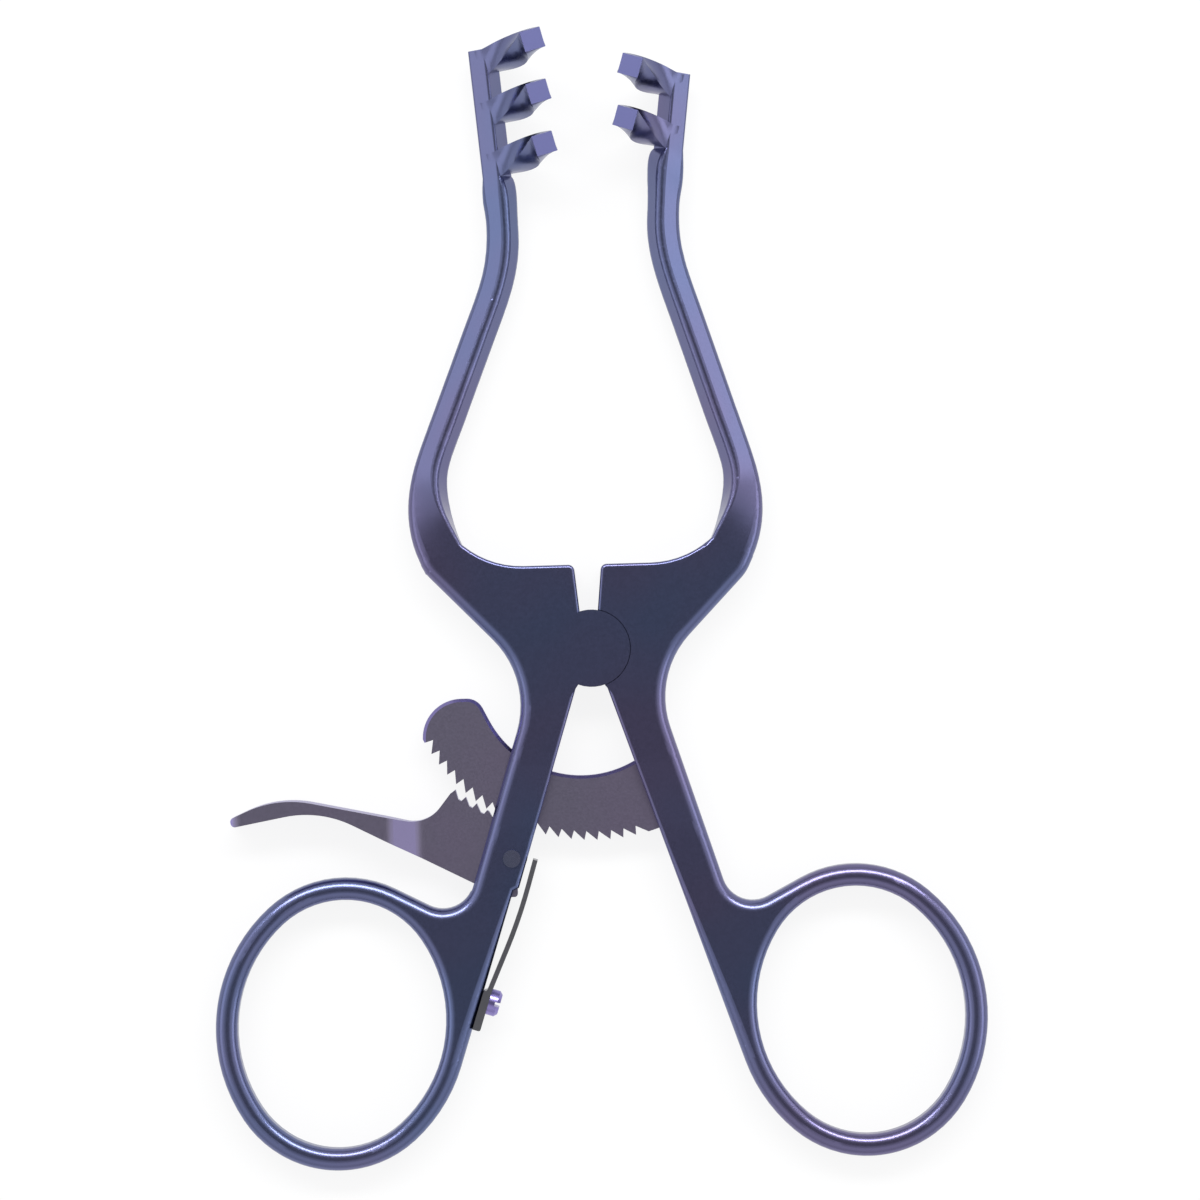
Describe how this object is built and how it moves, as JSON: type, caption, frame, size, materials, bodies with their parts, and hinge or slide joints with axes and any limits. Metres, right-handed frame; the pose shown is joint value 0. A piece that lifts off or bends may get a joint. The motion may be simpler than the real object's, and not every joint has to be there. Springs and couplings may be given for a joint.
{
  "type": "self retaining retractor",
  "caption": "Hinged two-branch wound retractor with curved prongs, finger rings, a curved toothed bar and a sprung release pawl.",
  "frame": {"origin": "hinge axis on the back plane of the lap box, which is the surface that the instrument lies on", "axes": "+Y from the hinge to the prongs, +X to the branch with two prongs, +Z out of the front, the way the prongs point"},
  "size_m": [0.0876, 0.1282, 0.0109],
  "materials": {
    "anodised_titanium": "satin blue-violet anodised titanium",
    "ratchet_titanium": "satin grey-violet anodised titanium",
    "pin_titanium": "ground flush, anodised with the branch",
    "spring_steel": "dark spring steel",
    "screw_titanium": "violet anodised titanium"
  },
  "bodies": {
    "left_side": {"left_branch": "anodised_titanium", "hinge_rivet": "pin_titanium", "pawl_pin": "pin_titanium", "leaf_spring": "spring_steel", "spring_screw": "screw_titanium"},
    "right_side": {"right_branch": "anodised_titanium", "ratchet_bar": "ratchet_titanium", "ratchet_bar_pin": "pin_titanium"},
    "release_pawl": {"ratchet_pawl": "ratchet_titanium"}
  },
  "joints": [
    {"name": "main_hinge", "type": "hinge", "parent": "left_side", "child": "right_side", "pos_m": [0, 0, 0.0023], "axis": [0, 0, -1], "range_deg": [-7.77, 31.09]},
    {"name": "pawl_pivot", "type": "hinge", "parent": "left_side", "child": "release_pawl", "pos_m": [-0.00967, -0.02355, 0.0023], "axis": [0, 0, 1], "range_deg": [-6.5, 6], "stiffness_Nm_per_rad": 0.05}
  ]
}
